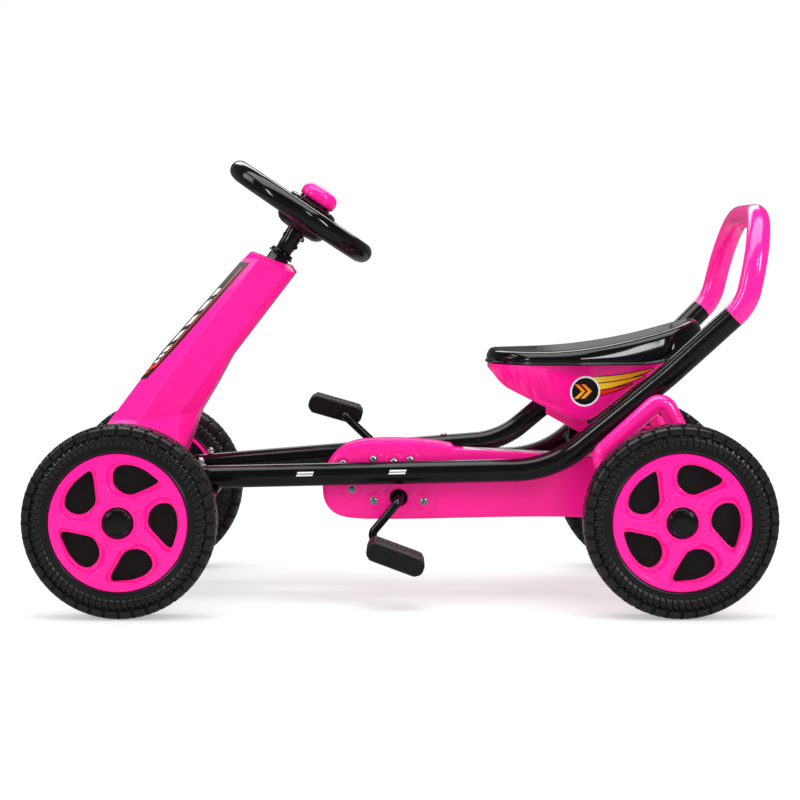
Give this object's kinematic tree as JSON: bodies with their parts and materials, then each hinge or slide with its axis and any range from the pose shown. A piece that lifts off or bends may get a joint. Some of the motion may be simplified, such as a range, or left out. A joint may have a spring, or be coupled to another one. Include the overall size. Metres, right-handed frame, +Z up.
{
  "type": "pedal go-kart",
  "caption": "Child's pedal kart: bent tube frame with hoop backrest, steered front wheels, chain-driven rear axle, faceted steering cover and sliding saddle seat.",
  "frame": {"origin": "on the ground, at the middle of the kart's box", "axes": "-X is the kart's front, -Y its left side, +Z up"},
  "size_m": [0.9771, 0.476, 0.595],
  "materials": {
    "pink_paint": "gloss powder coat",
    "black_paint": "gloss powder coat",
    "pink_plastic": "moulded, glossy",
    "black_plastic": "moulded, glossy",
    "dull_black_plastic": "moulded, grained",
    "tread": "moulded block tread",
    "steel": "zinc plated"
  },
  "bodies": {
    "root": {"left_rail": "black_paint", "right_rail": "black_paint", "left_rail_plug": "dull_black_plastic", "right_rail_plug": "dull_black_plastic", "backrest_hoop": "pink_paint", "seat_tube": "black_paint", "seat_crossbar": "black_paint", "rear_crossbar": "black_paint", "head_plate": "black_paint", "front_beam": "black_paint", "left_kingpin": "steel", "right_kingpin": "steel", "column_sleeve": "black_paint", "column_bush": "black_plastic", "fairing": "pink_plastic", "fairing_bracket": "steel", "left_chain_guard": "pink_plastic", "right_chain_guard": "pink_plastic", "crank_hanger": "black_paint", "drive_chain": "steel", "left_rear_bracket": "pink_paint", "right_rear_bracket": "pink_paint", "left_axle_bush": "dull_black_plastic", "right_axle_bush": "dull_black_plastic"},
    "steering": {"steering_shaft": "black_paint", "pitman_arm": "steel", "steering_wheel": "black_plastic", "wheel_boss": "black_plastic", "horn_base": "black_plastic"},
    "horn": {"horn_button": "pink_plastic"},
    "left_knuckle": {"left_knuckle": "steel"},
    "right_knuckle": {"right_knuckle": "steel"},
    "left_tie_rod": {"left_tie_rod": "steel"},
    "right_tie_rod": {"right_tie_rod": "steel"},
    "left_front_wheel": {"left_front_tyre": "tread", "left_front_rim": "pink_plastic", "left_front_hub": "dull_black_plastic", "left_front_cap": "black_plastic"},
    "right_front_wheel": {"right_front_tyre": "tread", "right_front_rim": "pink_plastic", "right_front_hub": "dull_black_plastic", "right_front_cap": "black_plastic"},
    "crank": {"crankshaft": "black_paint", "chainring": "steel"},
    "left_pedal": {"left_pedal": "dull_black_plastic"},
    "right_pedal": {"right_pedal": "dull_black_plastic"},
    "rear_axle": {"rear_axle": "steel", "rear_sprocket": "steel", "left_rear_tyre": "tread", "left_rear_rim": "pink_plastic", "left_rear_hub": "dull_black_plastic", "left_rear_cap": "black_plastic"},
    "right_rear_wheel": {"right_rear_tyre": "tread", "right_rear_rim": "pink_plastic", "right_rear_hub": "dull_black_plastic", "right_rear_cap": "black_plastic"},
    "seat": {"seat_top": "black_plastic", "seat_shell": "pink_plastic", "seat_clamp": "dull_black_plastic"}
  },
  "joints": [
    {"name": "steering_turn", "type": "hinge", "parent": "root", "child": "steering", "pos_m": [-0.1278, 0, 0.5189], "axis": [0.5592, 0, 0.829], "range_deg": [-35, 35]},
    {"name": "horn_press", "type": "slide", "parent": "steering", "child": "horn", "axis": [0.5592, 0, 0.829], "range_m": [-0.004, 0], "stiffness_N_per_m": 400},
    {"name": "left_kingpin_turn", "type": "hinge", "parent": "root", "child": "left_knuckle", "pos_m": [-0.3595, -0.155, 0.125], "axis": [0, 0, 1], "range_deg": [-25, 25]},
    {"name": "left_tie_rod_turn", "type": "hinge", "parent": "left_knuckle", "child": "left_tie_rod", "pos_m": [-0.3025, -0.155, 0.1665], "axis": [0, 0, 1], "range_deg": [-25, 25]},
    {"name": "left_front_wheel_spin", "type": "hinge", "parent": "left_knuckle", "child": "left_front_wheel", "pos_m": [-0.3595, -0.21, 0.125], "axis": [0, 1, 0], "continuous": true},
    {"name": "right_kingpin_turn", "type": "hinge", "parent": "root", "child": "right_knuckle", "pos_m": [-0.3595, 0.155, 0.125], "axis": [0, 0, 1], "range_deg": [-25, 25]},
    {"name": "right_tie_rod_turn", "type": "hinge", "parent": "right_knuckle", "child": "right_tie_rod", "pos_m": [-0.3025, 0.155, 0.1665], "axis": [0, 0, 1], "range_deg": [-25, 25]},
    {"name": "right_front_wheel_spin", "type": "hinge", "parent": "right_knuckle", "child": "right_front_wheel", "pos_m": [-0.3595, 0.21, 0.125], "axis": [0, 1, 0], "continuous": true},
    {"name": "rear_axle_spin", "type": "hinge", "parent": "root", "child": "rear_axle", "pos_m": [0.3595, 0, 0.125], "axis": [0, 1, 0], "continuous": true},
    {"name": "right_rear_wheel_spin", "type": "hinge", "parent": "root", "child": "right_rear_wheel", "pos_m": [0.3595, 0.21, 0.125], "axis": [0, 1, 0], "continuous": true},
    {"name": "crank_turn", "type": "hinge", "parent": "root", "child": "crank", "pos_m": [-0.0019, 0, 0.1361], "axis": [0, 1, 0], "continuous": true},
    {"name": "left_pedal_turn", "type": "hinge", "parent": "crank", "child": "left_pedal", "pos_m": [-0.006, -0.143, 0.069], "axis": [0, 1, 0], "continuous": true},
    {"name": "right_pedal_turn", "type": "hinge", "parent": "crank", "child": "right_pedal", "pos_m": [-0.0796, 0.143, 0.2353], "axis": [0, 1, 0], "continuous": true},
    {"name": "seat_slide", "type": "slide", "parent": "root", "child": "seat", "axis": [0.7658, 0, 0.6431], "range_m": [-0.01, 0.01]}
  ],
  "couplings": [
    {"joint": "left_kingpin_turn", "follows": "steering_turn", "ratio": 0.7143},
    {"joint": "right_kingpin_turn", "follows": "steering_turn", "ratio": 0.7143},
    {"joint": "left_tie_rod_turn", "follows": "steering_turn", "ratio": -0.7143},
    {"joint": "right_tie_rod_turn", "follows": "steering_turn", "ratio": -0.7143},
    {"joint": "crank_turn", "follows": "rear_axle_spin", "ratio": 0.7095}
  ]
}
